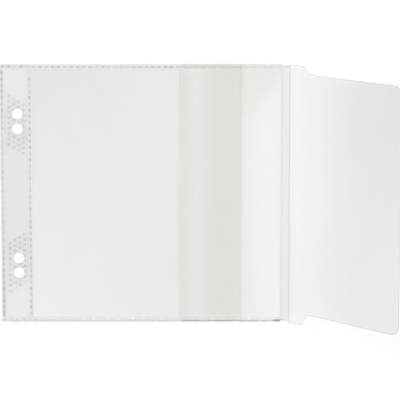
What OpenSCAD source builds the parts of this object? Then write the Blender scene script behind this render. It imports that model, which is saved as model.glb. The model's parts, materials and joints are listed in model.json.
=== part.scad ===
// Filing sleeve for one disc, in clear film: a punched binding margin, a pocket open at the
// right and a tuck-in flap on a narrow creased spine. It lies on its back, half open.
// X runs from the margin to the flap, Y along the spine and Z out of the front film.
// The origin is the middle of the back, between the outer edge and the spine crease.

/* [Sleeve] */
// Height of the sleeve along its spine
sleeve_h = 129.5; // [124:0.5:160]
// Width of the binding margin, from the outer edge to the middle of the pocket weld
margin_w = 14.75; // [14:0.25:22]
// Width of the pocket, from the middle of the pocket weld to the spine crease
pocket_w = 124.75; // [122:0.25:150]
// Thickness of one film
film_t = 0.15; // [0.12:0.01:0.2]

/* [Pocket front] */
// Clear depth of the pocket between the back film and the hem
pocket_depth = 1.6; // [1.3:0.1:3]
// Width of the slope that takes the front film from a weld up to its flat
slope_w = 3; // [2:0.25:6]
// Distance from the pocket mouth back to the spine crease
mouth_setback = 19.5; // [10:0.25:40]
// Width of the hem that is turned in at the mouth
hem_w = 31; // [15:0.25:45]
// Space between the hem and the front film it is turned from
hem_gap = 0.1; // [0.05:0.01:0.2]

/* [Spine and flap] */
// Width of the spine, from crease to crease
spine_w = 4.75; // [4:0.25:8]
// Rest angle of the spine above the back
spine_lift = 30; // [0:0.5:60]
// Rest angle of the flap above the spine
flap_lift = 21.5; // [0:0.5:60]
// Length of the flap, from its crease to its free edge
flap_l = 80.5; // [40:0.5:110]
// Length of the flap's full-height base, before its sides are drawn in
flap_base_l = 10.5; // [4:0.5:15]
// Length of the curved notch that draws each side in
flap_notch_l = 6.5; // [4.5:0.25:10]
// Mean room between a side of the flap and the weld beside it when the flap is tucked in
flap_side_room = 2.65; // [1:0.05:4]
// Shift of the flap's drawn-in part from mid height, along the spine
flap_shift = 1; // [-1.5:0.25:1.5]
// Radius of the flap's free corners
flap_corner_r = 4.5; // [1:0.25:10]
// Running clearance between a crease and the film that folds on it
crease_clearance = 0.02; // [0.01:0.005:0.05]

/* [Welds] */
// Width of a weld
weld_w = 2.3; // [1.4:0.05:2.5]
// Distance between the teeth marks along a weld
tooth_pitch = 3.1; // [2.5:0.05:5]
// Length of a tooth mark
tooth_l = 1.75; // [1.2:0.05:2.2]
// Width of a tooth mark
tooth_w = 0.9; // [0.5:0.05:1.1]
// Depth of a tooth mark
tooth_depth = 0.1; // [0.05:0.01:0.15]

/* [Ring holes] */
// Diameter of a ring hole
hole_d = 5.6; // [4.5:0.1:6.5]
// Distance from the outer edge to the middle of the holes
hole_inset = 8.75; // [7.5:0.05:9]
// Distance between the two outer holes
outer_spacing = 80; // [75:0.5:90]
// Distance between the two inner holes
inner_spacing = 65; // [55:0.5:68]

/* [Spot welds round the holes] */
// Columns of spots in a field
spot_columns = 4; // [2:1:4]
// Rows of spots in a field
spot_rows = 10; // [6:1:12]
// Distance between two columns
spot_pitch_x = 2.36; // [2:0.02:2.5]
// Distance between two rows
spot_pitch_y = 2.68; // [2:0.02:3]
// Step of each column along the spine from the one before it
spot_slant = 1.5; // [0:0.05:2]
// Distance from the outer edge to the first column
spot_inset = 4.5; // [3:0.05:4.75]
// Shift of a field from its pair of holes towards mid height
field_shift = 1.55; // [0:0.05:3]
// Diameter of a spot where it stands on the film
spot_d = 1.6; // [1:0.05:1.8]
// Diameter of a spot at its top
spot_top_d = 1; // [0.5:0.05:1]
// Height of a spot
spot_h = 0.1; // [0.05:0.01:0.2]

/* [Hidden] */

$fn = 64;
// Facets in the raised-cosine slope, and overlap of a cutting tool past the face it cuts
slope_steps = 8;
cut = 1;

body_w = margin_w + pocket_w;
weld_t = 2 * film_t;

// Levels above the surface that the sleeve lies on
hem_z = film_t + pocket_depth;
front_z = hem_z + film_t + hem_gap;
front_top = front_z + film_t;

// Places along X, counted from the outer edge
pocket_x = margin_w + weld_w / 2;
flat_x = pocket_x + slope_w;
mouth_x = body_w - mouth_setback;
fold_r = (front_top - hem_z) / 2;
fold_x = mouth_x - fold_r;

// Half heights along Y: inside the welds, and of the front film's flat
clear_y = sleeve_h / 2 - weld_w;
flat_y = clear_y - slope_w;

// A crease is a bead as thick as two films, with its axis on the film's upper face
crease_r = film_t;
crease_z = film_t;
crease_room = crease_r + crease_clearance;
film_end_x = body_w - crease_room;

// Height of the flap's drawn-in part, and where its upper (1) or lower (-1) side lies
flap_h = 2 * (clear_y - flap_side_room);
function flap_side_y(side) = flap_shift + side * flap_h / 2;

// A notch is an arc that runs out along a side of the flap. It rises by less than its length, so
// that it never turns back, and the end of the base goes on straight above it in a deeper notch.
function notch_rise(side) =
  min(sleeve_h / 2 - side * flap_side_y(side), 0.95 * flap_notch_l);
function notch_r(side) =
  (pow(flap_notch_l, 2) + pow(notch_rise(side), 2)) / (2 * notch_rise(side));

hole_y = [outer_spacing / 2, inner_spacing / 2];

film_color = "whitesmoke";
weld_color = "gainsboro";
crease_color = "lightgray";

// Moves what is drawn from the outer edge so that the middle of the back is the origin
module from_outer_edge() {
  translate([-body_w / 2, 0, 0]) children();
}

// A flat piece of film, given by its two corners in plan and the level of its lower face
module film(x0, x1, half_h, z) {
  translate([x0, -half_h, z]) cube([x1 - x0, 2 * half_h, film_t]);
}

// Share of the full rise at a share t of a slope's width, as a raised cosine
function rise(t) = (1 - cos(180 * t)) / 2;

// Points up one slope, from a weld at distance 0 to the flat at slope_w, lifted by lift
function slope_points(lift) = [
  for (i = [0 : slope_steps])
    [slope_w * i / slope_steps, film_t + lift + (front_z - film_t) * rise(i / slope_steps)]
];

// Section of the front film up one slope: the same points twice, a film's thickness apart
module slope_section() {
  upper = slope_points(film_t);
  polygon(concat(slope_points(0), [for (i = [slope_steps : -1 : 0]) upper[i]]));
}

// A strip of front film that leaves a weld along X and rises along Y. Its start is mitred to
// meet the next strip, and its end is mitred too or cut square, as end_mitre is slope_w or 0.
module slope_strip(length, end_mitre) {
  intersection() {
    rotate([90, 0, 90]) linear_extrude(length) slope_section();
    linear_extrude(front_top + cut)
      polygon([[0, 0], [length, 0], [length - end_mitre, slope_w], [slope_w, slope_w]]);
  }
}

// One tooth mark: a slot with round ends along X
module tooth_mark() {
  straight = tooth_l - tooth_w;
  linear_extrude(tooth_depth + cut) {
    square([straight, tooth_w], center = true);
    for (side = [-1, 1]) translate([side * straight / 2, 0]) circle(d = tooth_w);
  }
}

// A weld along X with a row of tooth marks pressed into its upper face
module toothed_weld(length) {
  marks = floor((length - tooth_l) / tooth_pitch) + 1;
  color(weld_color) difference() {
    translate([0, -weld_w / 2, 0]) cube([length, weld_w, weld_t]);
    for (i = [0 : marks - 1])
      translate([length / 2 + (i - (marks - 1) / 2) * tooth_pitch, 0, weld_t - tooth_depth])
        tooth_mark();
  }
}

// The four ring holes, cut through everything between two levels
module ring_holes(z0, z1) {
  for (y = hole_y, side = [-1, 1])
    translate([hole_inset, side * y, z0]) cylinder(d = hole_d, h = z1 - z0);
}

// True if the middle of a spot lies on film, and not in a ring hole
function on_film(p) =
  min([for (y = hole_y) norm(p - [hole_inset, y])]) > hole_d / 2;

// The spots round the upper pair of holes: a lattice whose columns step down to the right
module spot_field() {
  middle_y = (hole_y[0] + hole_y[1]) / 2 - field_shift;
  color(weld_color) difference() {
    for (c = [0 : spot_columns - 1], r = [0 : spot_rows - 1]) {
      along = (r - (spot_rows - 1) / 2) * spot_pitch_y - (c - (spot_columns - 1) / 2) * spot_slant;
      spot = [spot_inset + c * spot_pitch_x, middle_y + along];
      if (on_film(spot))
        translate([spot[0], spot[1], weld_t]) cylinder(d1 = spot_d, d2 = spot_top_d, h = spot_h);
    }
    ring_holes(weld_t - cut, weld_t + spot_h + cut);
  }
}

// Puts what is drawn flat from the spine crease at the spine's rest angle
module at_spine() {
  translate([body_w / 2, 0, crease_z]) rotate([0, -spine_lift, 0]) children();
}

// Puts what is drawn flat from the flap crease at the flap's rest angle
module at_flap() {
  at_spine() translate([spine_w, 0, 0]) rotate([0, -flap_lift, 0]) children();
}

// A pressed crease along Y
module crease_bead() {
  color(crease_color) rotate([90, 0, 0]) cylinder(r = crease_r, h = sleeve_h, center = true);
}

// Outline of the flap: a full-height base, sides drawn in by curved notches, round free corners
module flap_outline() {
  translate([crease_room, -sleeve_h / 2]) square([flap_base_l - crease_room, sleeve_h]);
  translate([flap_base_l, flap_side_y(-1)])
    square([flap_l - flap_corner_r - flap_base_l, flap_h]);
  translate([flap_l - flap_corner_r, flap_side_y(-1) + flap_corner_r])
    square([flap_corner_r, flap_h - 2 * flap_corner_r]);
  for (side = [-1, 1]) {
    translate([flap_l - flap_corner_r, flap_side_y(side) - side * flap_corner_r])
      circle(r = flap_corner_r);
    difference() {
      translate([flap_base_l, flap_side_y(side) + (side > 0 ? 0 : -notch_rise(side))])
        square([flap_notch_l, notch_rise(side)]);
      translate([flap_base_l + flap_notch_l, flap_side_y(side) + side * notch_r(side)])
        circle(r = notch_r(side));
    }
  }
}

module pocket_back_film() {
  color(film_color) from_outer_edge() film(pocket_x, film_end_x, clear_y, 0);
}

module front_film() {
  color(film_color) from_outer_edge() film(flat_x, fold_x, flat_y, front_z);
}

// The three borders of the front film slope down to the welds round the pocket
module front_bottom_slope() {
  color(film_color) from_outer_edge() translate([pocket_x, -clear_y, 0])
    slope_strip(fold_x - pocket_x, 0);
}

module front_top_slope() {
  mirror([0, 1, 0]) front_bottom_slope();
}

module front_inner_slope() {
  color(film_color) from_outer_edge() translate([pocket_x, clear_y, 0]) rotate([0, 0, -90])
    slope_strip(2 * clear_y, slope_w);
}

// The hem under the front film, with the round fold that joins the two at the mouth
module mouth_hem() {
  color(film_color) from_outer_edge() rotate([90, 0, 0])
    linear_extrude(2 * flat_y, center = true) {
      translate([mouth_x - hem_w, hem_z]) square([hem_w - fold_r, film_t]);
      translate([fold_x, hem_z + fold_r]) difference() {
        circle(r = fold_r);
        circle(r = hem_gap / 2);
        translate([-fold_r - cut, -fold_r - cut]) square([fold_r + cut, 2 * (fold_r + cut)]);
      }
    }
}

module margin_film(z) {
  color(film_color) from_outer_edge() difference() {
    film(weld_w, margin_w - weld_w / 2, clear_y, z);
    ring_holes(z - cut, z + film_t + cut);
  }
}

module margin_back_film() {
  margin_film(0);
}

module margin_front_film() {
  margin_film(film_t);
}

module outer_edge_weld() {
  from_outer_edge() translate([weld_w / 2, -clear_y, 0]) rotate([0, 0, 90]) toothed_weld(2 * clear_y);
}

module pocket_weld() {
  from_outer_edge() translate([margin_w, -clear_y, 0]) rotate([0, 0, 90]) toothed_weld(2 * clear_y);
}

module top_weld() {
  from_outer_edge() translate([0, clear_y + weld_w / 2, 0]) toothed_weld(film_end_x);
}

module bottom_weld() {
  from_outer_edge() translate([0, -clear_y - weld_w / 2, 0]) toothed_weld(film_end_x);
}

module upper_hole_weld() {
  from_outer_edge() spot_field();
}

module lower_hole_weld() {
  from_outer_edge() mirror([0, 1, 0]) spot_field();
}

module spine_crease() {
  translate([body_w / 2, 0, crease_z]) crease_bead();
}

module spine_film() {
  color(film_color) at_spine() film(crease_room, spine_w - crease_room, sleeve_h / 2, -film_t);
}

module flap_crease() {
  at_spine() translate([spine_w, 0, 0]) crease_bead();
}

module flap_film() {
  color(film_color) at_flap() translate([0, 0, -film_t]) linear_extrude(film_t) flap_outline();
}

pocket_back_film();
front_film();
front_top_slope();
front_bottom_slope();
front_inner_slope();
mouth_hem();
margin_back_film();
margin_front_film();
outer_edge_weld();
pocket_weld();
top_weld();
bottom_weld();
upper_hole_weld();
lower_hole_weld();
spine_crease();
spine_film();
flap_crease();
flap_film();
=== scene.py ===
# %% [markdown]
# # A clear filing sleeve for one disc
# The real sleeve is two sheets of clear film, welded together along three sides. It has a punched
# margin, a pocket whose front sheet is turned in as a hem, and a flap on a narrow creased spine.
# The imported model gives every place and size, and this lesson dresses it: each sheet becomes a
# thin curved shell with real welds, creases and cut edges, in a film that lets light through.

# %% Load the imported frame
import json
import math

import bmesh
import bpy
import numpy as np
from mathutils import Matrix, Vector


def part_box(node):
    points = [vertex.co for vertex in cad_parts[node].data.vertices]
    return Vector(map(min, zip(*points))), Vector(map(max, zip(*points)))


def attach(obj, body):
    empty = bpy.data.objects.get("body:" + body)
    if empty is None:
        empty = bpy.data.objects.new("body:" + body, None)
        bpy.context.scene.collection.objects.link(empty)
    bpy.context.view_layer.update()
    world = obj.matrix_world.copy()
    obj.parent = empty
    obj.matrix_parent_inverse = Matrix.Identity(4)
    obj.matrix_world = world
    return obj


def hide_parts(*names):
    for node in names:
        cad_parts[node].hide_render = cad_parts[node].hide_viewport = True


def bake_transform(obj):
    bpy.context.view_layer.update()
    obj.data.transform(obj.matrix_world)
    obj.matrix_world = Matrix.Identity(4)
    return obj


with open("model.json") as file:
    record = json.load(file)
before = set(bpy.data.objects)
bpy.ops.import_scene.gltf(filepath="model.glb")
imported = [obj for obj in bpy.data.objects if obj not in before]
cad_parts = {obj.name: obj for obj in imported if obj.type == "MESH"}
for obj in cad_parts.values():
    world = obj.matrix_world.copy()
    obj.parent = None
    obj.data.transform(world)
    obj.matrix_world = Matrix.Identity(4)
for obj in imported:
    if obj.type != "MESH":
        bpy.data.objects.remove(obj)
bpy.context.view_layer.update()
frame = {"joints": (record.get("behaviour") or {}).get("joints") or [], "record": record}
MM = 0.001

# %% [markdown]
# ## Places
# Nothing is measured twice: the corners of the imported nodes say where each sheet, weld and fold
# lies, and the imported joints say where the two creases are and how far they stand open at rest.

# %% Places taken from the frame
outer_x, weld_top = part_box("top_weld")[0].x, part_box("top_weld")[1].z
clear_y, half_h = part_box("top_weld")[0].y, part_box("top_weld")[1].y
weld_w = half_h - clear_y
margin_x0, margin_x1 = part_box("margin_front_film")[0].x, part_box("margin_front_film")[1].x
pocket_x, film_end_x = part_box("pocket_back_film")[0].x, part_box("pocket_back_film")[1].x
flat_x, fold_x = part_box("front_film")[0].x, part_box("front_film")[1].x
front_low, front_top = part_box("front_film")[0].z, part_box("front_film")[1].z
hem_x, mouth_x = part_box("mouth_hem")[0].x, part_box("mouth_hem")[1].x
hem_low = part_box("mouth_hem")[0].z
film_t = front_top - front_low
slope_w = flat_x - pocket_x
holes = [m for m in frame["record"]["mounts"] if m["kind"] == "bore"]
hole_x = holes[0]["pos_m"][0]
hole_r = holes[0]["dims"]["r_mm"] * MM
hole_ys = sorted(m["pos_m"][1] for m in holes)
joints = {j["name"]: j for j in frame["joints"]}
print("outer edge", outer_x, "fold", fold_x, "holes at", hole_ys)

# %% [markdown]
# ## From arrays to meshes
# A sheet is a function of two parameters on a grid. Its middle surface is worked out as one array,
# and a shell is that surface moved half a thickness to each side along its own normals, with a
# wall round the border, so that it is closed and its faces point outwards.

# %% Grid helpers
def smooth(t):
    """Smooth step: 0 below 0 and 1 above 1, with 3 t squared minus 2 t cubed between."""
    t = np.clip(t, 0, 1)
    return t * t * (3 - 2 * t)


def bell(x, middle, width):
    """Bell curve: e to the minus square of the distance from the middle in widths."""
    return np.exp(-((x - middle) / width) ** 2)


def edge_line(inset, width, soft):
    """Line along a cut edge: 1 beside the edge, and 0 from width inside it, over a soft border. It
    paints shade: the dark line that refraction shows at a cut edge of clear film.
    """
    return smooth((width - inset) / soft)


def places(start, end, step, edge=0.0):
    """Places from start to end about step apart, with closer ones within edge of both ends."""
    near = edge * np.array([0, 0.3, 0.65]) if edge else np.array([])
    count = max(2, round((end - start - 2 * edge) / step) + 1)
    inner = np.linspace(start + edge, end - edge, count)
    return np.concatenate([start + near, inner, end - near[::-1]])


def ripple(x, y):
    """Slow waves of a handled film, from -1 to 1: three sines that run across each other."""
    a = np.sin(x / (9 * MM) + 1.3 * np.sin(y / (31 * MM)))
    b = np.sin(y / (13 * MM) + 0.7 * np.sin(x / (23 * MM)) + 1.9)
    c = np.sin((x + 0.6 * y) / (17 * MM) + 0.4)
    return (a + b + c) / 3


def offset_both(middle, thickness):
    """Both faces of a sheet: the middle surface plus and minus half the thickness times its
    unit normal, which is the cross product of its two directions."""
    normal = np.cross(np.gradient(middle, axis=0), np.gradient(middle, axis=1))
    normal /= np.linalg.norm(normal, axis=2, keepdims=True)
    return middle + normal * thickness / 2, middle - normal * thickness / 2


def quads(index):
    """Quads between neighbours of a grid of vertex numbers."""
    corners = index[:-1, :-1], index[1:, :-1], index[1:, 1:], index[:-1, 1:]
    return np.stack(corners, axis=-1).reshape(-1, 4)


def shell_faces(rows, columns):
    """Faces of a closed shell: an upper grid, a lower grid turned over, and a wall between their
    borders. The lower grid's numbers follow the upper one's."""
    index = np.arange(rows * columns).reshape(rows, columns)
    rim = np.concatenate([index[:-1, 0], index[-1, :-1], index[:0:-1, -1], index[0, :0:-1]])
    after = np.roll(rim, -1)
    below = rows * columns
    wall = np.stack([after, rim, rim + below, after + below], axis=-1)
    return np.concatenate([quads(index), quads(index)[:, ::-1] + below, wall])


print("a shell on a grid of 3 by 4 points has", len(shell_faces(3, 4)), "faces")

# %% Mesh helpers
def new_mesh(name, points, faces, masks):
    """A mesh object from arrays: points one by three, faces of equal corner count, and one value
    for each point of each named mask."""
    mesh = bpy.data.meshes.new(name)
    mesh.vertices.add(len(points))
    mesh.vertices.foreach_set("co", points.astype(np.float32).ravel())
    mesh.loops.add(faces.size)
    mesh.loops.foreach_set("vertex_index", faces.astype(np.int32).ravel())
    mesh.polygons.add(len(faces))
    starts = np.arange(0, faces.size, faces.shape[1], dtype=np.int32)
    mesh.polygons.foreach_set("loop_start", starts)
    mesh.update(calc_edges=True)
    mesh.shade_smooth()
    for mask, values in masks.items():
        layer = mesh.attributes.new(mask, "FLOAT", "POINT")
        layer.data.foreach_set("value", values.astype(np.float32).ravel())
    piece = bpy.data.objects.new(name, mesh)
    bpy.context.scene.collection.objects.link(piece)
    return piece


def closed_shell(name, upper, lower, **masks):
    """A closed piece from two grids of points; each mask is a grid of values for both faces."""
    rows, columns = upper.shape[:2]
    points = np.concatenate([upper.reshape(-1, 3), lower.reshape(-1, 3)])
    both = {m: np.tile(np.broadcast_to(v, (rows, columns)).ravel(), 2) for m, v in masks.items()}
    piece = new_mesh(name, points, shell_faces(rows, columns), both)
    print(name, len(points), "points")
    return piece


def dress(piece, material, slot, *nodes):
    """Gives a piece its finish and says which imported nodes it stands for."""
    piece.data.materials.append(material)
    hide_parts(*nodes)
    print(piece.name, "stands for", ", ".join(nodes))


# %% [markdown]
# ## The film's finish
# Clear film shows by three things: a little haze, so each layer over white is a shade greyer; a
# gloss that grows at a glancing angle; and dark lines where it is cut or pressed. Real refraction
# would be slow and noisy in so many thin layers, so the film is a glossy surface of low alpha, and
# what refraction and the lamps do to it is painted: the dark lines at cut edges, creases and sunk
# marks are painted shade, and besides haze the masks carry painted shade where the film bends or
# tilts, and painted highlights and glints at folds, edges and welds. One node group works out haze,
# painted light, mottling, cut edges and pressed marks for all the finishes.

# %% Node helpers
def link_chain(tree, *pairs):
    """Links pairs of sockets."""
    for source, target in pairs:
        tree.links.new(source, target)


def math_node(tree, operation, *inputs):
    """A math node whose inputs are sockets or plain numbers; gives its output."""
    node = tree.nodes.new("ShaderNodeMath")
    node.operation = operation
    for socket, value in zip(node.inputs, inputs):
        if isinstance(value, (int, float)):
            socket.default_value = value
        else:
            tree.links.new(value, socket)
    return node.outputs[0]


def mix_node(tree, factor, a, b):
    """A colour mix from a, a socket or a colour, to the colour b; gives its output."""
    node = tree.nodes.new("ShaderNodeMix")
    node.data_type = "RGBA"
    tree.links.new(factor, node.inputs["Factor"])
    colour_a, colour_b = [i for i in node.inputs if i.type == "RGBA"]
    colour_b.default_value = b
    if isinstance(a, tuple):
        colour_a.default_value = a
    else:
        tree.links.new(a, colour_a)
    return [o for o in node.outputs if o.type == "RGBA"][0]


def noise_node(tree, vector, size, detail):
    """Noise over object coordinates, with features about size metres across."""
    node = tree.nodes.new("ShaderNodeTexNoise")
    node.inputs["Scale"].default_value = 1 / size
    node.inputs["Detail"].default_value = detail
    tree.links.new(vector, node.inputs["Vector"])
    return node.outputs["Fac"]


def mask_node(tree, name):
    """Value of a point mask that the mesh carries."""
    node = tree.nodes.new("ShaderNodeAttribute")
    node.attribute_name = name
    return node.outputs["Fac"]


# %% Node group for haze, edges and marks
GROUP_INPUTS = ("Clear", "Haze", "Edge", "Press")


def make_film_group():
    """Opacity is Clear with mottling plus Haze, Edge and Press
    times their masks, which carry painted shade and painted highlights as well as haze and pressed
    marks. Shade is how far the colour goes to its dark end, Roughness grows with the marks, and
    Height is a fine grain."""
    group = bpy.data.node_groups.new("film_surface", "ShaderNodeTree")
    for name in GROUP_INPUTS:
        group.interface.new_socket(name, in_out="INPUT", socket_type="NodeSocketFloat")
    for name in ("Opacity", "Shade", "Roughness", "Height"):
        group.interface.new_socket(name, in_out="OUTPUT", socket_type="NodeSocketFloat")
    start = group.nodes.new("NodeGroupInput")
    end = group.nodes.new("NodeGroupOutput")
    place = group.nodes.new("ShaderNodeTexCoord").outputs["Object"]
    mottle = noise_node(group, place, 14 * MM, 3.0)
    grain = noise_node(group, place, 0.9 * MM, 2.0)
    haze, edge, press = (mask_node(group, m) for m in ("haze", "edge", "press"))
    cloud = math_node(group, "MULTIPLY_ADD", mottle, 0.3, 0.85)
    clear = math_node(group, "MULTIPLY", start.outputs["Clear"], cloud)
    hazed_and_lit = math_node(group, "MULTIPLY_ADD", haze, start.outputs["Haze"], clear)
    edged = math_node(group, "MULTIPLY_ADD", edge, start.outputs["Edge"], hazed_and_lit)
    opacity = math_node(group, "MULTIPLY_ADD", press, start.outputs["Press"], edged)
    marks = math_node(group, "MAXIMUM", edge, press)
    shade = math_node(group, "MULTIPLY_ADD", mottle, 0.2, marks)
    scuffed = math_node(group, "MULTIPLY_ADD", press, 0.2, 0.24)
    roughness = math_node(group, "MULTIPLY_ADD", grain, 0.12, scuffed)
    height = math_node(group, "MULTIPLY_ADD", grain, 0.04, mottle)
    link_chain(group, (opacity, end.inputs["Opacity"]), (shade, end.inputs["Shade"]),
               (roughness, end.inputs["Roughness"]), (height, end.inputs["Height"]))
    return group


film_group = make_film_group()
print("group", film_group.name, "with", len(film_group.nodes), "nodes")

# %% One finish from its colours and opacities
GLOSS_IOR = 2.2
PLASTIC_IOR = 1.49
GLANCE_GAIN = 0.25
BUMP_STRENGTH = 0.35
BUMP_DEPTH = 0.05 * MM
MILKY_GAIN = 0.33
MILKY = (0.445, 0.4, 0.33)
OLIVE = (0.44, 0.455, 0.32)


def film_finish(name, light, milky, dark, **opacities):
    """A glossy, mostly clear surface: the group's opacity plus a share of the Fresnel reflection is
    its alpha. Its colour runs from light to milky with the mask of haze and painted light, on to
    dark with the group's shade, and to olive where the mesh carries a tone mask."""
    material = bpy.data.materials.new(name)
    material.use_nodes = True
    tree = material.node_tree
    shader = tree.nodes["Principled BSDF"]
    shader.inputs["IOR"].default_value = GLOSS_IOR
    surface = tree.nodes.new("ShaderNodeGroup")
    surface.node_tree = film_group
    for socket, value in opacities.items():
        surface.inputs[socket].default_value = value
    # The milky colour follows the haze mask, its painted shade and highlights included
    hazed_and_lit = math_node(tree, "MULTIPLY", mask_node(tree, "haze"), MILKY_GAIN)
    body = mix_node(tree, hazed_and_lit, (*light, 1), (*milky, 1))
    shaded = mix_node(tree, surface.outputs["Shade"], body, (*dark, 1))
    tinted = mix_node(tree, mask_node(tree, "tone"), shaded, (*OLIVE, 1))
    bump = tree.nodes.new("ShaderNodeBump")
    bump.inputs["Strength"].default_value = BUMP_STRENGTH
    bump.inputs["Distance"].default_value = BUMP_DEPTH
    glance = tree.nodes.new("ShaderNodeFresnel")
    inside = tree.nodes.new("ShaderNodeNewGeometry").outputs["Backfacing"]
    glance_ior = math_node(tree, "MULTIPLY_ADD", inside, 1 / PLASTIC_IOR - PLASTIC_IOR, PLASTIC_IOR)
    tree.links.new(glance_ior, glance.inputs["IOR"])
    alpha = math_node(tree, "MULTIPLY_ADD", glance.outputs[0], GLANCE_GAIN, surface.outputs["Opacity"])
    alpha.node.use_clamp = True
    link_chain(tree, (tinted, shader.inputs["Base Color"]),
               (surface.outputs["Roughness"], shader.inputs["Roughness"]),
               (surface.outputs["Height"], bump.inputs["Height"]),
               (bump.outputs["Normal"], shader.inputs["Normal"]),
               (alpha, shader.inputs["Alpha"]))
    return material


print("at a glancing angle the film's opacity grows by up to", GLANCE_GAIN)

# %% Finishes of film, margin, weld and crease
film = film_finish("clear_back_film", (0.515, 0.4, 0.275), MILKY, (0.23, 0.21, 0.19),
                   Clear=0.0255, Haze=0.04, Edge=0.1, Press=0.1)
front = film_finish("clear_front_film", (0.42, 0.375, 0.305), MILKY, (0.22, 0.21, 0.2),
                    Clear=0.0245, Haze=0.04, Edge=0.1, Press=0.1)
margin = film_finish("clear_margin_film", (0.46, 0.39, 0.338), (0.45, 0.405, 0.35), (0.22, 0.21, 0.2),
                     Clear=0.025, Haze=0.04, Edge=0.1, Press=0.1)
weld = film_finish("pressed_weld", (0.43, 0.382, 0.325), MILKY, (0.2, 0.18, 0.17),
                   Clear=0.085, Haze=0.04, Edge=0.08, Press=0.12)
crease = film_finish("pressed_crease", (0.43, 0.37, 0.3), MILKY, (0.22, 0.2, 0.18),
                     Clear=0.05, Haze=0.04, Edge=0.1, Press=0.05)
print("finishes", [m.name for m in (film, front, margin, weld, crease)])

# %% [markdown]
# ## Back sheet
# The back of the pocket lies on the table. It is one flat sheet, but handling leaves slow waves in
# film, and those break the reflections up, so the grid rises by a few hundredths of a millimetre.
# Past the mouth it is the only layer; there a painted shadow of the hem fades into a soft clear
# crescent, a painted reflection of the side light on film that curves up to the spine.

# %% Haze and painted light of the back
BACK_HAZE = 0.4
BAY_SHADOW = 0.6
CORNER_SHADE = 0.3
UPPER_BEND, LOWER_BEND = 0.88, 0.25


def back_haze_and_light(x, y):
    """Even haze under the pocket. In the bay past the mouth a painted shadow of the hem falls off to
    a clear crescent, a painted reflection, whose border bends with the fourth power of the height,
    and the upper corner has more painted shade and a softer border."""
    bay, height = (x - mouth_x) / (film_end_x - mouth_x), y / clear_y
    bend = np.where(height > 0, UPPER_BEND, LOWER_BEND) * height ** 4
    upper_corner = smooth((height - 0.45) / 0.5)
    crescent = smooth((bay - 0.02 + 0.15 * upper_corner - bend) / (0.52 + 0.3 * upper_corner))
    in_bay = smooth((x - fold_x + MM) / MM)
    corner = CORNER_SHADE * upper_corner
    return BACK_HAZE + in_bay * ((1 - crescent) * (BAY_SHADOW + corner) + corner)


print("bay", round((film_end_x - mouth_x) / MM, 1), "mm wide")

# %% Back sheet of the pocket
SHEET_T = 0.13 * MM
SHEET_STEP = 1.6 * MM
TUCK = 0.02 * MM
EDGE_W = 0.5 * MM
BACK_WAVE = 0.04 * MM


def sheet_grid(xs, ys):
    """Two grids of places, with x along the rows and y along the columns."""
    return np.meshgrid(xs, ys, indexing="ij")


def build_back_sheet():
    """z is half a sheet plus a rise: waves that fade to nothing at the welds and the crease."""
    x, y = sheet_grid(places(pocket_x - TUCK, film_end_x, SHEET_STEP, EDGE_W),
                      places(-clear_y - TUCK, clear_y + TUCK, SHEET_STEP, EDGE_W))
    fade = smooth((clear_y - np.abs(y)) / (8 * MM)) * smooth((film_end_x - x) / (6 * MM))
    rise = BACK_WAVE * fade * (1 + ripple(x, y))
    upper, lower = offset_both(np.stack([x, y, SHEET_T / 2 + rise], axis=-1), SHEET_T)
    return closed_shell("back_sheet", upper, lower, haze=back_haze_and_light(x, y))


back_sheet = build_back_sheet()
dress(back_sheet, film, "clear_film", "pocket_back_film")
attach(back_sheet, "sleeve")

# %% [markdown]
# ## Front sheet and hem
# The front sheet leaves the three welds, rises in a soft slope to a flat, and at the mouth it is
# turned in and runs back under itself as a hem. On the real sleeve this is one film, so it is one
# surface here: a profile that goes out, round the fold and back, carried from weld to weld.

# %% Levels of the front sheet and its hem
FRONT_WAVE, HEM_WAVE = 0.03 * MM, 0.02 * MM


def slope_share(distance):
    """Share of the full rise at a distance from a weld: half of 1 minus the cosine."""
    return (1 - np.cos(np.pi * np.clip(distance / slope_w, 0, 1))) / 2


def front_level(x, y):
    """Height of the front sheet's middle: the lower of the slopes from the nearest welds."""
    share = np.minimum(slope_share(x - pocket_x), slope_share(clear_y - np.abs(y)))
    base = weld_top - SHEET_T / 2
    waves = FRONT_WAVE * share * ripple(x + 7 * MM, y)
    return base + (front_top - SHEET_T / 2 - base) * share + waves


def hem_level(x, y):
    """Height of the hem's middle: the same slope across, up to the hem's own level."""
    share = slope_share(clear_y - np.abs(y))
    base = 1.5 * SHEET_T
    waves = HEM_WAVE * share * ripple(x, y + 9 * MM)
    return base + (hem_low + SHEET_T / 2 - base) * share + waves


middle_level = front_level(np.array(flat_x), np.array(0.0))
print("front sheet", round(float(middle_level) / MM, 2), "mm above the table")

# %% Haze and painted light of the front sheet and its hem
FRONT_HAZE = 0.14
HEM_HAZE = 0.1
HEM_SHADE = 0.35
STREAK_HIGHLIGHT = 0.65
FOLD_HIGHLIGHT = 0.6


def hem_haze_and_light(x, y, near_weld):
    """Painted shade deepens over the hem towards the mouth, where it curves round, and towards the
    upper end. A painted highlight, a clear streak which snakes a little, runs along its first third,
    and the hem is lighter where it comes down to a weld."""
    band = (x - hem_x) / (mouth_x - hem_x)
    streak = bell(band, 0.27 + 0.03 * np.sin(y / (17 * MM)), 0.14)
    upper_end = smooth((y / clear_y - 0.2) / 0.6)
    painted_shade = HEM_SHADE * smooth((band - 0.3) / 0.4) + 0.15 * upper_end
    return HEM_HAZE + painted_shade - STREAK_HIGHLIGHT * streak - 0.5 * near_weld


def front_haze(x, y, near_weld):
    """The front grows darker upwards, most near the margin and at its upper end, and it is lighter
    on the lower slope."""
    before_hem = np.clip((hem_x - x) / (hem_x - pocket_x), 0, 1)
    height = y / clear_y
    upper_part = smooth(before_hem / 0.05) * smooth((height - 0.4) / 0.5)
    upwards = 0.6 * before_hem * height + 0.12 * upper_part
    return FRONT_HAZE + upwards - 0.35 * near_weld * (y < 0)


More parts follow.
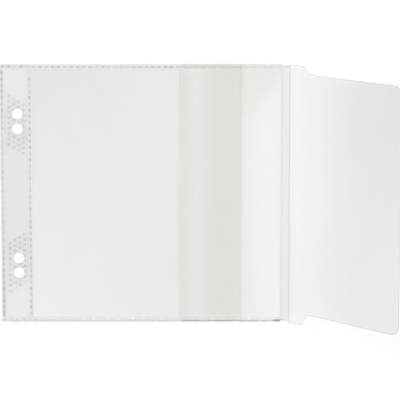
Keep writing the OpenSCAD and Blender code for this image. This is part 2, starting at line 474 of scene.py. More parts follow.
print("hem", round((mouth_x - hem_x) / MM, 1), "mm wide")

# %% Front sheet with its turned-in hem
FOLD_STEPS = 12
SLOPE_STEP = 0.3 * MM
HEM_STEP = 1.2 * MM
HEM_EDGE = 0.7
HEM_LINE_W, HEM_LINE_SOFT = 0.6 * MM, 0.5 * MM


def build_front_sheet():
    """Rows run out along the front, round the fold by an angle from a quarter turn to minus one,
    and back along the hem; columns run across from weld to weld."""
    ys = np.concatenate([places(-clear_y - TUCK, -clear_y + slope_w, SLOPE_STEP)[:-1],
                         places(-clear_y + slope_w, clear_y - slope_w, SHEET_STEP)[:-1],
                         places(clear_y - slope_w, clear_y + TUCK, SLOPE_STEP)])
    out = np.concatenate([places(pocket_x - TUCK, flat_x, SLOPE_STEP)[:-1],
                          places(flat_x, fold_x, SHEET_STEP, EDGE_W)])
    back = places(hem_x, fold_x, HEM_STEP, EDGE_W)[::-1]
    turn = np.linspace(np.pi / 2, -np.pi / 2, FOLD_STEPS + 1)[1:-1]
    x_out, y_out = sheet_grid(out, ys)
    x_back, y_back = sheet_grid(back, ys)
    angle, y_turn = sheet_grid(turn, ys)
    top, under = front_level(np.full_like(ys, fold_x), ys), hem_level(np.full_like(ys, fold_x), ys)
    x_turn = fold_x + (mouth_x - fold_x - SHEET_T / 2) * np.cos(angle)
    z_turn = (top + under) / 2 + (top - under) / 2 * np.sin(angle)
    middle = np.concatenate([np.stack([x_out, y_out, front_level(x_out, y_out)], axis=-1),
                             np.stack([x_turn, y_turn, z_turn], axis=-1),
                             np.stack([x_back, y_back, hem_level(x_back, y_back)], axis=-1)])
    on_hem = np.zeros(middle.shape[:2])
    on_hem[len(out) + len(turn):] = 1
    x, y = middle[..., 0], middle[..., 1]
    near_weld = smooth(1 - (clear_y - np.abs(y)) / slope_w)
    haze = on_hem * hem_haze_and_light(x, y, near_weld) + (1 - on_hem) * front_haze(x, y, near_weld)
    # Painted highlight: a clear line along the rounded fold at the mouth
    haze -= FOLD_HIGHLIGHT * bell(x, mouth_x, 0.5 * MM)
    # Painted shade: the dark line that refraction shows along the hem's cut edge
    edge = HEM_EDGE * on_hem * edge_line(x - hem_x, HEM_LINE_W, HEM_LINE_SOFT)
    upper, lower = offset_both(middle, SHEET_T)
    return closed_shell("front_sheet", upper, lower, haze=haze, edge=edge, tone=on_hem)


front_sheet = build_front_sheet()
dress(front_sheet, front, "clear_film", "front_film", "front_top_slope", "front_bottom_slope",
      "front_inner_slope", "mouth_hem")
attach(front_sheet, "sleeve")

# %% [markdown]
# ## Punched margin
# The binding margin is two sheets with four ring holes. A grid has no holes, so each hole gets a
# panel of its own, whose lines fan out from the round rim to a square border, and plain panels
# fill the rest. Solidify then gives the joined panels their thickness, rims included.

# %% Panels of the margin
PANEL_COLUMNS = 12
FAN_SHARES = 0, 0.02, 0.05, 0.1, 0.2, 0.4, 0.7, 1


def punched_panel(y0, y1, hole_y):
    """Points fan from a circle to a rectangle: rim plus a share of the way to the border."""
    across = np.linspace(margin_x0 - TUCK, margin_x1 + TUCK, PANEL_COLUMNS + 1)
    along = np.linspace(y0, y1, PANEL_COLUMNS + 1)
    border = np.concatenate([np.stack([across, np.full_like(across, y0)], axis=-1)[:-1],
                             np.stack([np.full_like(along, across[-1]), along], axis=-1)[:-1],
                             np.stack([across[::-1], np.full_like(across, y1)], axis=-1)[:-1],
                             np.stack([np.full_like(along, across[0]), along[::-1]], axis=-1)])
    middle = np.array([hole_x, hole_y])
    ray = border - middle
    rim = middle + hole_r * ray / np.linalg.norm(ray, axis=1, keepdims=True)
    share = np.array(FAN_SHARES)[:, None, None]
    return rim + (border - rim) * share


def plain_panel(y0, y1):
    """A rectangle of the margin between two heights, turned the same way as a punched one."""
    x, y = sheet_grid(np.linspace(margin_x0 - TUCK, margin_x1 + TUCK, PANEL_COLUMNS + 1),
                      places(y0, y1, SHEET_STEP))
    return np.stack([x, y], axis=-1)[:, ::-1]


panel_half = (hole_ys[3] - hole_ys[2]) / 2
print("a punched panel is", round(2 * panel_half / MM, 2), "mm high")

# %% Joining the panels
def margin_panels():
    """All panels of the margin from one weld to the other, as points and faces of one mesh."""
    panels = [punched_panel(y - panel_half, y + panel_half, y) for y in hole_ys]
    stops = [-clear_y - TUCK, hole_ys[0] - panel_half, hole_ys[1] + panel_half,
             hole_ys[2] - panel_half, hole_ys[3] + panel_half, clear_y + TUCK]
    panels += [plain_panel(stops[i], stops[i + 1]) for i in (0, 2, 4)]
    sizes = [p.shape[0] * p.shape[1] for p in panels]
    starts = np.cumsum([0] + sizes[:-1])
    faces = np.concatenate([quads(np.arange(n).reshape(p.shape[:2]) + s)
                            for p, n, s in zip(panels, sizes, starts)])
    return np.concatenate([p.reshape(-1, 2) for p in panels]), faces


def merge_borders(mesh):
    """Merges the points that neighbouring panels share and turns all faces the same way."""
    joined = bmesh.new()
    joined.from_mesh(mesh)
    bmesh.ops.remove_doubles(joined, verts=joined.verts, dist=0.01 * MM)
    bmesh.ops.recalc_face_normals(joined, faces=joined.faces)
    joined.to_mesh(mesh)
    joined.free()


print("margin has", len(margin_panels()[1]), "faces on each side")

# %% Margin sheets with their holes
BURR_H, BURR_W = 0.03 * MM, 0.25 * MM
MARGIN_WAVE = 0.01 * MM
MARGIN_HAZE = 0.5
FIELD_HAZE = 0.3
RIM_EDGE = 0.6
RIM_LINE_W = 0.45 * MM


def build_margin(name, level, burr):
    """The joined panels at a level, with small waves and a burr that dies away from each rim. The
    film is lighter towards both ends and darker where the spots are."""
    flat, faces = margin_panels()
    x, y = flat[:, 0], flat[:, 1]
    rim = np.min([np.hypot(x - hole_x, y - hole_y) for hole_y in hole_ys], axis=0) - hole_r
    z = level + burr * np.exp(-np.maximum(rim, 0) / BURR_W) + MARGIN_WAVE * ripple(x, y)
    field = smooth(1.3 - np.abs(np.abs(y) - hole_ys[2]) / (13 * MM))
    height = y / clear_y
    haze = MARGIN_HAZE + 0.05 * height - 0.3 * height ** 2 + FIELD_HAZE * field * (rim > 0)
    # Painted shade: the dark ring that refraction shows round each punched rim
    masks = {"edge": RIM_EDGE * edge_line(rim, RIM_LINE_W, RIM_LINE_W), "haze": haze}
    piece = new_mesh(name, np.column_stack([flat, z]), faces, masks)
    merge_borders(piece.data)
    thick = piece.modifiers.new("thickness", "SOLIDIFY")
    thick.thickness = SHEET_T
    thick.offset = 0
    print(name, len(piece.data.vertices), "points,", len(hole_ys), "holes")
    return piece


margin_back = build_margin("margin_back", SHEET_T / 2, 0.0)
margin_front = build_margin("margin_front", weld_top - SHEET_T / 2, BURR_H)
dress(margin_back, margin, "clear_film", "margin_back_film")
dress(margin_front, margin, "clear_film", "margin_front_film")
for piece in (margin_back, margin_front):
    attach(piece, "sleeve")

# %% [markdown]
# ## Toothed welds
# A hot toothed bar presses the two sheets together and leaves a row of short sunk marks. The weld
# is a strip whose upper face dips at each mark. The bar never presses evenly, so the depth and
# darkness of the marks wander along the seam, and the outer side ends in a cut edge. The marks
# are really sunk, but their darkness is painted shade for the light their slopes bend away, and
# small clear flecks beside them are painted glints.

# %% Marks of the toothed bar
TOOTH_PITCH = 3.1 * MM
TOOTH_L = 1.75 * MM
TOOTH_W = 0.9 * MM
TOOTH_DEPTH = 0.1 * MM
TOOTH_SOFT = 0.15 * MM
TOOTH_FORCE = 0.72
GLINT_R = 0.45 * MM
GLINT_WANDER = 0.3


def stations(share, values):
    """The values at equal steps along a seam, with straight lines between them."""
    return np.interp(share, np.linspace(0, 1, len(values)), values)


def tooth_marks(u, v, length, grip, phase):
    """Depth of the marks from 0 to about 1. Marks repeat every pitch from the middle of the seam, and
    the distance to the middle line of the nearest one is softened at its rim. Its force is a mean
    that two sines of its number vary, times grip, which is how hard the bar is held down there."""
    count = math.floor((length - TOOTH_L) / TOOTH_PITCH) + 1
    half_pitch = 0 if count % 2 else 0.5
    number = np.round((u - length / 2) / TOOTH_PITCH - half_pitch) + half_pitch
    number = np.clip(number, -(count - 1) / 2, (count - 1) / 2)
    beside = np.abs(u - length / 2 - number * TOOTH_PITCH) - (TOOTH_L - TOOTH_W) / 2
    distance = np.hypot(np.maximum(beside, 0), v)
    uneven = 0.24 * np.sin(2.4 * number + phase) + 0.16 * np.sin(0.37 * number + 2 * phase)
    force = (TOOTH_FORCE + uneven) * stations(0.5 + number * TOOTH_PITCH / length, grip)
    return force * smooth((TOOTH_W / 2 + TOOTH_SOFT / 2 - distance) / TOOTH_SOFT)


def painted_glints(u, v, phase):
    """Painted glints from 0 to 1: round flecks of clear film that stand for tiny highlights beside
    the marks. They lie about a pitch apart from the start of the seam. A sine of its number moves
    each one along, and another leaves many of them out."""
    number = np.round(u / TOOTH_PITCH)
    middle = (number + GLINT_WANDER * np.sin(4.7 * number + phase)) * TOOTH_PITCH
    chosen = smooth(2.4 * np.sin(3.3 * number + 2 * phase) - 0.9)
    return chosen * bell(np.hypot(u - middle, v), 0, GLINT_R)


print("marks every", round(TOOTH_PITCH / MM, 2), "mm")

# %% Films and cut edge along a weld
CUT_LINE_W = 0.4 * MM, 0.6 * MM, 0.6 * MM
CUT_LINE_SOFT = 0.3 * MM
WEDGE_W, WEDGE_L = 0.5 * MM, 5 * MM


def by_films(x, values):
    """A value for two films, for the three films of the hem and for the one film past the mouth,
    blended over a millimetre."""
    hem, past = smooth((x - hem_x) / MM), smooth((x - mouth_x) / MM)
    return values[0] + (values[1] - values[0]) * hem + (values[2] - values[1]) * past


def cut_edge(x, u, inset, length, wedge, phase):
    """Line along the cut edge of a weld, painted shade for the light that refraction bends away there:
    its width goes by the number of films and grows by wedge at the far end of the seam, and its
    darkness wanders with two sines of the way along."""
    wander = 1 + 0.2 * np.sin(u / (0.9 * MM)) + 0.2 * np.sin(u / (2.3 * MM) + phase)
    far_end = smooth((u - length + WEDGE_L) / (0.8 * WEDGE_L))
    return wander * edge_line(inset, by_films(x, CUT_LINE_W) + wedge * far_end, CUT_LINE_SOFT)


print("cut line", [round(w / MM, 2) for w in CUT_LINE_W], "mm wide over two, three and one films")

# %% Weld strip
WELD_STEP_U, WELD_STEP_V = 0.2 * MM, 0.17 * MM
WELD_HAZE = 0, 0.75, -0.33
BORDER_DROP, BORDER_LIFT = 0.05 * MM, 0.02 * MM
SMEAR_W = 0.55 * MM
GLINT_CLEAR = 0.6
GLINT_INSET = 0.75 * MM
pocket_weld_x = (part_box("pocket_weld")[0].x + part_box("pocket_weld")[1].x) / 2


def build_weld(name, start, direction, length, cut_side, shift, grip, bite, smear, dark, phase, wedge=0):
    """Grid along the seam (u) and across it (v): height is the weld's, less the sunk marks and a
    rounded border. cut_side is the sign of v at the cut edge, or 0 inside the sleeve, and shift is
    how far the marks of the pocket lie inwards of the middle. Bite is how much the marks show, smear
    how dark the weld is between them and dark how dark its cut edge is, each by number of films on a
    long seam and in equal steps up a side seam, as grip is on both."""
    u, v = sheet_grid(places(0, length, WELD_STEP_U), places(-weld_w / 2, weld_w / 2, WELD_STEP_V))
    side = np.array([-direction[1], direction[0]])
    plan = np.asarray(start) + u[..., None] * np.asarray(direction) + v[..., None] * side
    x = plan[..., 0]
    is_long = direction[0]

    def spread(values):
        """The value at each point of the strip."""
        return by_films(x, values) if is_long else stations(u / length, values)

    on_pocket = smooth((x - pocket_weld_x) / (3 * MM)) if is_long else 1
    inward = v + shift * cut_side * on_pocket
    tooth = tooth_marks(u, inward, length, grip, phase)
    border = smooth((np.abs(v) - 0.35 * weld_w) / (0.15 * weld_w))
    upper_z = weld_top - TOOTH_DEPTH * tooth - BORDER_DROP * border
    lower_z = BORDER_LIFT * border
    upper = np.concatenate([plan, upper_z[..., None]], axis=-1)
    lower = np.concatenate([plan, lower_z[..., None]], axis=-1)
    # Painted shade on the marks, the smear between them, and painted glints taken out as clear flecks
    glint = is_long * painted_glints(u, inward + GLINT_INSET * cut_side, phase)
    press = spread(bite) * tooth + spread(smear) * bell(inward, 0, SMEAR_W) - GLINT_CLEAR * glint
    line = cut_edge(x, u, weld_w / 2 - cut_side * v, length, wedge, phase)
    edge = abs(cut_side) * spread(dark) * line
    return closed_shell(name, upper, lower, press=press, edge=edge, haze=by_films(x, WELD_HAZE))


print("pocket weld at", round(pocket_weld_x / MM, 2), "mm")

# %% The four seams
seam_y = (clear_y + half_h) / 2
side_seam = {"direction": (0, 1), "length": 2 * clear_y}
long_seam = {"direction": (1, 0), "length": film_end_x - outer_x}
seams = {
    "outer_edge_weld": dict(
        side_seam, start=(outer_x + weld_w / 2, -clear_y), cut_side=1, shift=-0.05 * MM, phase=0.4,
        grip=(0.85, 0.9, 0.8, 0.5, 0.4, 1, 1.2),
        bite=(0.8,), smear=(1.05, 0.48, 0.68), dark=(0.1,)),
    "pocket_weld": dict(
        side_seam, start=(pocket_weld_x, -clear_y), cut_side=0, shift=0, phase=1.7,
        grip=(0.95, 1.3, 1, 0.65, 1.2, 1, 0.85),
        bite=(0.85,), smear=(0.36, 0.33, 0.36), dark=(0,)),
    "top_weld": dict(
        long_seam, start=(outer_x, seam_y), cut_side=1, shift=0.26 * MM, phase=2.9,
        grip=(1.2, 0.65, 0.45, 0.8, 1, 1.6),
        bite=(0.95, 0.3, 0.2), smear=(0.42, 0.42, 0.4), dark=(0.1, 0.3, 0.3)),
    # The bottom seam's cut-edge line is much darker: painted shadow that the edge casts on the table, over
    # its painted edge shade. It widens to a dark wedge at the far end.
    "bottom_weld": dict(
        long_seam, start=(outer_x, -seam_y), cut_side=-1, shift=-0.5 * MM, phase=4.1,
        grip=(1, 0.8, 0.1, 0.8, 1, 1.5, 1.2),
        bite=(0.6, 0.15, 0.1), smear=(0.08, 0.08, 0.08), dark=(2, 3.3, 2.9), wedge=WEDGE_W),
}
for node, seam in seams.items():
    strip = build_weld(node.replace("weld", "seam"), **seam)
    dress(strip, weld, "weld", node)
    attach(strip, "sleeve")

# %% [markdown]
# ## Spot welds round the holes
# Between the holes and the seams the sheets are tacked by a lattice of small pressed spots, so the
# punched film doesn't spread. Each is a low ring with a dimple. One grid is bent to a disc, and
# all the spots of a field are made at once by adding their middles to it.

# %% Places of the spots
SPOT_COLUMNS, SPOT_ROWS = 4, 10
SPOT_PITCH_X, SPOT_PITCH_Y = 2.36 * MM, 2.68 * MM
SPOT_SLANT = 1.5 * MM
SPOT_INSET = 4.5 * MM
FIELD_SHIFT = 1.55 * MM


def spot_middles(side):
    """Middles of a slanted lattice about a pair of holes, without those that fall in a hole."""
    column, row = sheet_grid(np.arange(SPOT_COLUMNS), np.arange(SPOT_ROWS))
    middle_y = (hole_ys[2] + hole_ys[3]) / 2 - FIELD_SHIFT
    x = outer_x + SPOT_INSET + column * SPOT_PITCH_X
    y = middle_y + (row - (SPOT_ROWS - 1) / 2) * SPOT_PITCH_Y
    y = y - (column - (SPOT_COLUMNS - 1) / 2) * SPOT_SLANT
    middles = np.stack([x, side * y], axis=-1).reshape(-1, 2)
    away = np.min([np.hypot(middles[:, 0] - hole_x, middles[:, 1] - h) for h in hole_ys], axis=0)
    return middles[away > hole_r]


print("spots in a field:", len(spot_middles(1)))

# %% Trim and darkness of the spots
DEPTH_KEPT = 0.04
SPOT_FORCE = 1.08
SPOT_CLEAR = 0.62


def out_of_holes(plan):
    """Moves points that lie in a hole straight out to its rim, which trims the spots there. Each
    keeps a 25th of its depth in the hole, so that no face shrinks to nothing."""
    for hole_y in hole_ys:
        ray = plan - np.array([hole_x, hole_y])
        reach = np.linalg.norm(ray, axis=-1, keepdims=True)
        trimmed = hole_r - DEPTH_KEPT * (hole_r - reach)
        plan = np.where(reach < hole_r, np.array([hole_x, hole_y]) + ray * trimmed / reach, plan)
    return plan


def spot_press_and_shade(disc, reach, count, side):
    """How dark each point of each spot is: the spot's force, a mean that two sines of its number vary,
    weaker towards +Y, which paints shade on the side of each ring turned from the key lamp, and
    fading to the rim, less what makes the weld's finish clear again."""
    uneven = 0.3 * np.sin(2.7 * count + side) + 0.2 * np.sin(1.1 * count)
    force = SPOT_FORCE - 0.09 * side + uneven
    return force * (0.5 - 0.24 * disc[..., 1]) * smooth(2.4 - 2.4 * reach) - SPOT_CLEAR


print("spots are trimmed at holes", round(2 * hole_r / MM, 2), "mm wide")

# %% Spot fields
SPOT_R, SPOT_LONG_R = 1 * MM, 1.15 * MM
SPOT_H = 0.1 * MM
SPOT_RISE, SPOT_FOOT = 0.01 * MM, 0.03 * MM
SPOT_GRID = 9
RING_AT, RING_W = 0.62, 0.3


def build_spots(name, side):
    """A square grid (a, b) bent to a disc: a times the root of 1 minus half b squared, and the
    same with a and b changed over. Height is a ring at about two thirds of the radius."""
    a, b = sheet_grid(np.linspace(-1, 1, SPOT_GRID), np.linspace(-1, 1, SPOT_GRID))
    disc = np.stack([a * np.sqrt(1 - b * b / 2), b * np.sqrt(1 - a * a / 2)], axis=-1)
    reach = np.linalg.norm(disc, axis=-1)
    ring = bell(reach, RING_AT, RING_W) * (1 - reach ** 6)
    middles = spot_middles(side)
    plan = out_of_holes(middles[:, None, None, :] + disc * np.array([SPOT_LONG_R, SPOT_R]))
    level = np.broadcast_to(weld_top + SPOT_RISE + SPOT_H * ring, plan.shape[:3])
    foot = np.full(plan.shape[:3], weld_top - SPOT_FOOT)
    both = np.stack([np.concatenate([plan, level[..., None]], axis=-1),
                     np.concatenate([plan, foot[..., None]], axis=-1)], axis=1)
    count = np.arange(len(middles))[:, None, None]
    faces = 2 * SPOT_GRID ** 2 * count + shell_faces(SPOT_GRID, SPOT_GRID)
    press = spot_press_and_shade(disc, reach, count, side)
    masks = {"press": np.stack([press, press], axis=1)}
    piece = new_mesh(name, both.reshape(-1, 3), faces.reshape(-1, 4), masks)
    print(name, len(middles), "spots")
    return piece


for side, node in ((1, "upper_hole_weld"), (-1, "lower_hole_weld")):
    spots = build_spots(node.replace("hole_weld", "spots"), side)
    dress(spots, weld, "weld", node)
    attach(spots, "sleeve")

# %% [markdown]
# ## Creases
# The back film runs on past the mouth: it is creased twice, and the strip between the creases is
# the spine. A crease is a narrow shell whose two halves lie along the two leaves it joins, as they
# stand at rest. It is a little thicker than the film, and its dark line is painted shade along the
# fold.

# %% Directions of the spine and the flap
spine_foot = np.array(joints["spine_fold"]["pos_m"])
flap_foot = np.array(joints["flap_fold"]["pos_m"])
spine_angle = math.radians(-joints["spine_fold"]["range_deg"][0])
flap_angle = spine_angle + math.radians(-joints["flap_fold"]["range_deg"][0])


def along(angle):
    """Unit vector in the XZ plane at an angle above the table."""
    return np.array([math.cos(angle), 0, math.sin(angle)])


def upright(angle):
    """Unit vector square to along, on the side that faces up when the sleeve lies open."""
    return np.array([-math.sin(angle), 0, math.cos(angle)])


def placed(foot, angle, s, y, lift):
    """Points at s along a leaf from its foot, y across it and lift off it."""
    base = s[..., None] * along(angle) + lift[..., None] * upright(angle)
    return foot + base + y[..., None] * np.array([0, 1, 0])


flap_l = (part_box("flap_film")[1].x - flap_foot[0] - film_t * math.sin(flap_angle)) / math.cos(flap_angle)
spine_l = np.linalg.norm(flap_foot - spine_foot)
print("spine at", round(math.degrees(spine_angle), 1), "flap at", round(math.degrees(flap_angle), 1),
      "degrees, flap", round(flap_l / MM, 1), "mm long")

# %% Crease strips
CREASE_HALF = 0.35 * MM
CREASE_LAP = 0.2 * MM
CREASE_T = 0.18 * MM
CREASE_POINTS = 13
CREASE_STEP = 2 * MM
SWELL_W = 0.18 * MM


def build_crease(name, foot, before, after, width, force):
    """Across the strip s goes from minus to plus its half width: the first half lies along the
    earlier leaf and the second along the later one, and it swells to its middle. The pressed line,
    painted shade along the fold, has a width and a force, and it fades towards both ends."""
    s, y = sheet_grid(np.linspace(-1, 1, CREASE_POINTS) * CREASE_HALF,
                      places(-half_h, half_h, CREASE_STEP, EDGE_W))
    way = np.where(s[..., None] < 0, along(before), along(after))
    bisector = upright((before + after) / 2)
    middle = foot - bisector * film_t / 2 + s[..., None] * way + y[..., None] * np.array([0, 1, 0])
    thick = CREASE_T * (0.35 + 0.65 * bell(s, 0, SWELL_W))
    upper = middle + thick[..., None] / 2 * bisector
    lower = middle - thick[..., None] / 2 * bisector
    fade = 1 - 0.5 * smooth((np.abs(y) / half_h - 0.8) / 0.15)
    return closed_shell(name, upper, lower, press=force * fade * bell(s, 0, width))


spine_crease = build_crease("spine_fold_line", spine_foot, 0.0, spine_angle, width=0.18 * MM, force=0.3)
dress(spine_crease, crease, "crease", "spine_crease")
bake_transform(spine_crease)
flap_crease = build_crease("flap_fold_line", flap_foot, spine_angle, flap_angle,
                           width=0.3 * MM, force=2.2)
dress(flap_crease, crease, "crease", "flap_crease")
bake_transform(flap_crease)

# %% [markdown]
# ## Spine and flap
# The flap keeps the full height for a short base, then a curved notch on each side draws it in, so
# that it passes between the welds when it is tucked in, and its free corners are round. The cut
# lies a little off mid height, so the two notches differ. Each side is a function of the way along
# the flap, and the grid is stretched between the two sides row by row.

# %% Spine strip
LEAF_LINE_W, LEAF_LINE_SOFT = 0.35 * MM, 0.3 * MM
SPINE_DRAW_IN = 0.7 * MM
SPINE_STEP = 0.4 * MM
SPINE_ARCH = 0.03 * MM
SPINE_EDGE = 3
# Film haze plus painted shade, as the spine stands tilted off the table
SPINE_HAZE_AND_SHADE = 1.6


def build_spine():
    """A strip between the creases, arched by half a sine wave. Its haze mask adds painted shade,
    as the spine stands tilted, and it has painted dark lines for refraction at its cut ends.
    """
    room = CREASE_HALF - CREASE_LAP
    side = half_h - SPINE_DRAW_IN
    s, y = sheet_grid(places(room, spine_l - room, SPINE_STEP), places(-side, side, SHEET_STEP, EDGE_W))
    arch = SPINE_ARCH * np.sin(np.pi * s / spine_l) - film_t / 2
    edge = SPINE_EDGE * edge_line(side - np.abs(y), LEAF_LINE_W, LEAF_LINE_SOFT)
    upper, lower = offset_both(placed(spine_foot, spine_angle, s, y, arch), SHEET_T)
    return closed_shell("spine_strip", upper, lower, edge=edge, haze=np.full(s.shape, SPINE_HAZE_AND_SHADE))


spine_strip = build_spine()
dress(spine_strip, film, "clear_film", "spine_film")
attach(spine_strip, "spine")

# %% Outline of the flap
FLAP_BASE_L = 10.5 * MM
FLAP_NOTCH_L = 6.5 * MM
NOTCH_LIMIT = 0.95
FLAP_SIDE_ROOM = 2.65 * MM
FLAP_SHIFT = 1 * MM
FLAP_CORNER_R = 4.5 * MM
NOTCH_POINTS, CORNER_POINTS = 19, 14
BASE_STEP = 1.0 * MM


def flap_side(s, side):
    """How far the upper (1) or lower (-1) side lies from mid height at s along the flap: the full
    half height on the base, an arc down the notch, a straight side, a quarter circle at the end."""
    level = clear_y - FLAP_SIDE_ROOM + side * FLAP_SHIFT
    rise = min(half_h - level, NOTCH_LIMIT * FLAP_NOTCH_L)
    notch_r = (FLAP_NOTCH_L ** 2 + rise ** 2) / (2 * rise)
    left = np.clip(FLAP_BASE_L + FLAP_NOTCH_L - s, 0, FLAP_NOTCH_L)
    drawn_in = level + notch_r - np.sqrt(notch_r ** 2 - left ** 2)
    past = np.clip((s - flap_l + FLAP_CORNER_R) / FLAP_CORNER_R, 0, 1)
    rounded = drawn_in - FLAP_CORNER_R * (1 - np.sqrt(1 - past ** 2))
    return np.where(s <= FLAP_BASE_L, half_h, rounded)


def flap_rows():
    """Rows from the crease to the free edge, closer where the notch starts and round the corner."""
    notch = FLAP_BASE_L + FLAP_NOTCH_L * (1 - np.cos(np.linspace(0, np.pi / 2, NOTCH_POINTS)))
    corner = flap_l - FLAP_CORNER_R * (1 - np.sin(np.linspace(0, np.pi / 2, CORNER_POINTS)))
    base = places(CREASE_HALF - CREASE_LAP, FLAP_BASE_L, BASE_STEP, EDGE_W)
    straight = places(notch[-1], corner[0], SHEET_STEP)
    return np.concatenate([base[:-1], notch[:-1], straight[:-1], corner])


print("flap", len(flap_rows()), "rows long")

# %% Haze and painted light of the flap
FOOT_HAZE, END_SHADE = 0.1, 2.3
CUT_HIGHLIGHT, FOOT_HIGHLIGHT = 0.7, 0.4


def flap_haze_and_light(s, share, inset):
    """Painted shade that grows towards the free end, for how the light falls on the raised flap,
    more so on the upper side (share 1) and at both sides than in the middle. A thin painted
    highlight runs inside the cut edge, and a painted highlight lies on the foot beside the crease."""
    way = s / flap_l
    haze = FOOT_HAZE + 0.27 * smooth(way / 0.12) + END_SHADE * smooth(way / 0.7)
    haze += share * (0.7 * way + 0.44 * way ** 2 - 0.16)
    haze += share ** 2 * (0.2 + 0.55 * way ** 2)
    return haze - CUT_HIGHLIGHT * bell(inset, 0.8 * MM, 0.3 * MM) - FOOT_HIGHLIGHT * np.exp(-s / MM)


print("haze at mid flap", round(float(flap_haze_and_light(flap_l / 2, 0.0, flap_l)), 2))

# %% Flap sheet
FLAP_SHARE_STEP = 0.025
FLAP_BOW, FLAP_WAVE = 0.25 * MM, 0.05 * MM
LIP_H, LIP_W = 0.12 * MM, 0.8 * MM
FLAP_EDGE = 2


def build_flap():
    """Columns are shares of the way between the two sides, closer to both. The inset is the
    distance to the nearest point of the outline, which the painted dark cut-edge line follows. The
    sheet bows by half a sine wave, with slow waves on it, and a lip dies away from the crease."""
    s, share = sheet_grid(flap_rows(), places(-1, 1, FLAP_SHARE_STEP, EDGE_W / clear_y))
    upper_y, lower_y = flap_side(s, 1), -flap_side(s, -1)
    y = (upper_y + lower_y) / 2 + share * (upper_y - lower_y) / 2
    rim = np.concatenate([np.stack([s[:, i], y[:, i]], axis=-1) for i in (0, -1)])
    to_rim = np.min(np.hypot(s[..., None] - rim[:, 0], y[..., None] - rim[:, 1]), axis=-1)
    inset = np.minimum(np.minimum(to_rim, flap_l - s), np.minimum(upper_y - y, y - lower_y))
    bow = FLAP_BOW * np.sin(np.pi * s / flap_l) + FLAP_WAVE * ripple(s, y)
    lip = LIP_H * np.exp(-s / LIP_W)
    edge = FLAP_EDGE * edge_line(inset, LEAF_LINE_W, LEAF_LINE_SOFT)
    upper, lower = offset_both(placed(flap_foot, flap_angle, s, y, bow + lip - film_t / 2), SHEET_T)
    return closed_shell("flap_sheet", upper, lower, edge=edge, haze=flap_haze_and_light(s, share, inset))


flap_sheet = build_flap()
dress(flap_sheet, film, "clear_film", "flap_film")
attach(flap_sheet, "flap")

# %% [markdown]
# ## Table, light and camera
# The sleeve lies on a white table under soft light. The table is a matt white that gives back most
# of its light as shading, so it keeps the shadow, and a small share as glow for the camera and for
# reflections, so that it reads as plain white. The camera stands almost straight above.

# %% White table
FLOOR_HALF = 3.0
FLOOR_POINTS = 9
FLOOR_DROP = 0.15 * MM
FLOOR_WHITE = 0.86
FLOOR_ROUGH = 0.9
FLOOR_GLOW = 0.232


def white_rays(tree):
    """1 for rays from the camera and for mirror and see-through rays, 0 for the rest."""
    rays = tree.nodes.new("ShaderNodeLightPath")
    seen = math_node(tree, "MAXIMUM", rays.outputs["Is Camera Ray"], rays.outputs["Is Glossy Ray"])
    return math_node(tree, "MAXIMUM", seen, rays.outputs["Is Transmission Ray"])


def build_floor():
    """One large square just under the sleeve."""
    side = np.linspace(-FLOOR_HALF, FLOOR_HALF, FLOOR_POINTS)
    x, y = sheet_grid(side, side)
    points = np.stack([x, y, np.full_like(x, -FLOOR_DROP)], axis=-1).reshape(-1, 3)
    floor = new_mesh("table", points, quads(np.arange(x.size).reshape(x.shape)), {})
    material = bpy.data.materials.new("white_table")
    material.use_nodes = True
    shader = material.node_tree.nodes["Principled BSDF"]
    shader.inputs["Base Color"].default_value = (FLOOR_WHITE, FLOOR_WHITE, FLOOR_WHITE, 1)
    shader.inputs["Roughness"].default_value = FLOOR_ROUGH
    shader.inputs["Specular IOR Level"].default_value = 0.0
    shader.inputs["Emission Color"].default_value = (1, 1, 1, 1)
    glow = math_node(material.node_tree, "MULTIPLY", white_rays(material.node_tree), FLOOR_GLOW)
    material.node_tree.links.new(glow, shader.inputs["Emission Strength"])
    floor.data.materials.append(material)
    return floor


table = build_floor()
print(table.name, FLOOR_DROP / MM, "mm under the sleeve")

# %% World and lamps
WORLD_LEVEL = 0.62


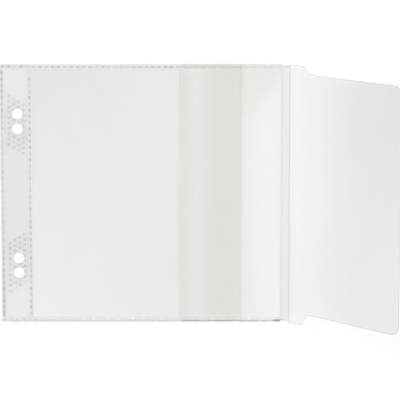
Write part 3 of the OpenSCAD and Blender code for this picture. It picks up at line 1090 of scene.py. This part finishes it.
def build_world():
    """Even light from all round; the camera and reflections see plain white."""
    world = bpy.data.worlds.new("studio")
    bpy.context.scene.world = world
    world.use_nodes = True
    tree = world.node_tree
    background = tree.nodes["Background"]
    background.inputs["Color"].default_value = (1, 1, 1, 1)
    strength = math_node(tree, "MULTIPLY_ADD", white_rays(tree), 1 - WORLD_LEVEL, WORLD_LEVEL)
    tree.links.new(strength, background.inputs["Strength"])


def add_lamp(name, place, target, size, power):
    """A rectangular lamp at a place, turned to a target."""
    data = bpy.data.lights.new(name, "AREA")
    data.shape = "RECTANGLE"
    data.size, data.size_y = size
    data.energy = power
    lamp = bpy.data.objects.new(name, data)
    way = np.array(target) - np.array(place)
    heading = math.atan2(way[0], -way[1])
    tilt = math.atan2(math.hypot(way[0], way[1]), -way[2])
    lamp.location = place
    lamp.rotation_euler = (tilt, 0, heading + math.pi)
    bpy.context.scene.collection.objects.link(lamp)
    return lamp


build_world()
add_lamp("key", place=(-0.55, 0.5, 0.95), target=(0, 0, 0), size=(0.7, 0.5), power=4.0)
add_lamp("strip", place=(0.75, -0.1, 0.6), target=(0.05, 0, 0), size=(0.1, 0.9), power=1.6)
print("world at", WORLD_LEVEL, "with two lamps")

# %% Camera
TILT = math.radians(8.85)
DISTANCE = 1.27
PIXELS_PER_M = 2008
FRAME_PX = 400
SENSOR_MM = 36
AIM = np.array([29.475 * MM, -3.2 * MM, 0])


def build_camera():
    """Looks at the aim point from a tilt off the vertical; the lens follows from how many pixels a
    metre takes at that distance."""
    data = bpy.data.cameras.new("camera")
    data.sensor_width = SENSOR_MM
    data.lens = data.sensor_width * PIXELS_PER_M * DISTANCE / FRAME_PX
    camera = bpy.data.objects.new("camera", data)
    camera.location = AIM + DISTANCE * np.array([0, math.sin(TILT), math.cos(TILT)])
    camera.rotation_euler = (-TILT, 0, 0)
    bpy.context.scene.collection.objects.link(camera)
    bpy.context.scene.camera = camera
    print("lens", round(data.lens, 1), "mm")


build_camera()

# %% Scene settings
FACES_IN_A_ROW = 32

# A ray has to pass both faces of all the films that lie on each other
scene = bpy.context.scene
scene.view_settings.view_transform = "Standard"
scene.cycles.transparent_max_bounces = FACES_IN_A_ROW
print("a ray passes up to", FACES_IN_A_ROW, "see-through faces")
